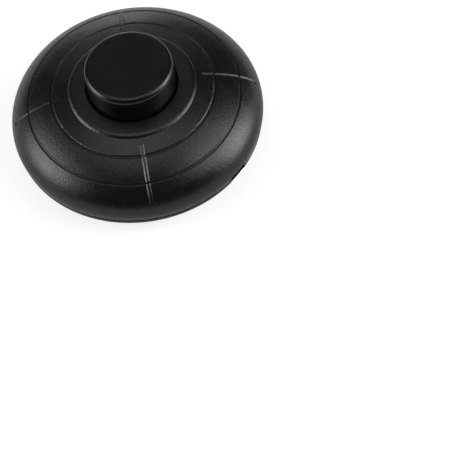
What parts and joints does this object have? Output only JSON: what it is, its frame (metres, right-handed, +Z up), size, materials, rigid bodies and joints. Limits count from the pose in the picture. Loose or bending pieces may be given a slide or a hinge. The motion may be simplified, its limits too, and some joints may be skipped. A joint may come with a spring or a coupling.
{
  "type": "lamp foot switch",
  "caption": "Round low-domed foot switch for a lamp cord, with a press button in a raised collar, grooved cover and a turning contact bridge inside.",
  "frame": {"origin": "middle of the underside, on the button's axis", "axes": "+Z up along the button's axis; the cord runs along X, entering at +X and leaving at -X"},
  "size_m": [0.062, 0.062, 0.026],
  "materials": {
    "cover_plastic": "black satin moulded plastic with a fine grain",
    "base_plastic": "black moulded plastic",
    "button_plastic": "black smooth satin plastic",
    "inner_plastic": "natural off-white moulded plastic",
    "brass": "stamped brass",
    "silver": "silver alloy contact",
    "spring_steel": "drawn spring steel",
    "screw_steel": "zinc-plated steel"
  },
  "bodies": {
    "housing": {"top_cover": "cover_plastic", "base_plate": "base_plastic", "return_spring": "spring_steel", "pivot_pin": "screw_steel", "inner_cover": "inner_plastic", "inner_cover_screws": "screw_steel", "detent_springs": "spring_steel", "supply_contact": "brass", "lamp_contact": "brass", "fixed_contact_tips": "silver", "neutral_link": "brass", "clamp_washers": "screw_steel", "terminal_screws": "screw_steel", "supply_cord_clamp": "inner_plastic", "lamp_cord_clamp": "inner_plastic", "cord_clamp_screws": "screw_steel", "cover_screws": "screw_steel"},
    "button": {"push_button": "button_plastic"},
    "rotor": {"ratchet_rotor": "inner_plastic", "contact_bridge": "brass", "bridge_contact_tips": "silver"}
  },
  "joints": [
    {"name": "button_press", "type": "slide", "parent": "housing", "child": "button", "axis": [0, 0, -1], "range_m": [0, 0.004], "stiffness_N_per_m": 1500, "springref_m": -0.003, "deforming": ["return_spring"]},
    {"name": "rotor_turn", "type": "hinge", "parent": "housing", "child": "rotor", "pos_m": [0, 0, 0.005], "axis": [0, 0, 1], "range_deg": [0, 50]}
  ],
  "couplings": [
    {"joint": "rotor_turn", "follows": "button_press", "rad_per_m": 218.16}
  ]
}
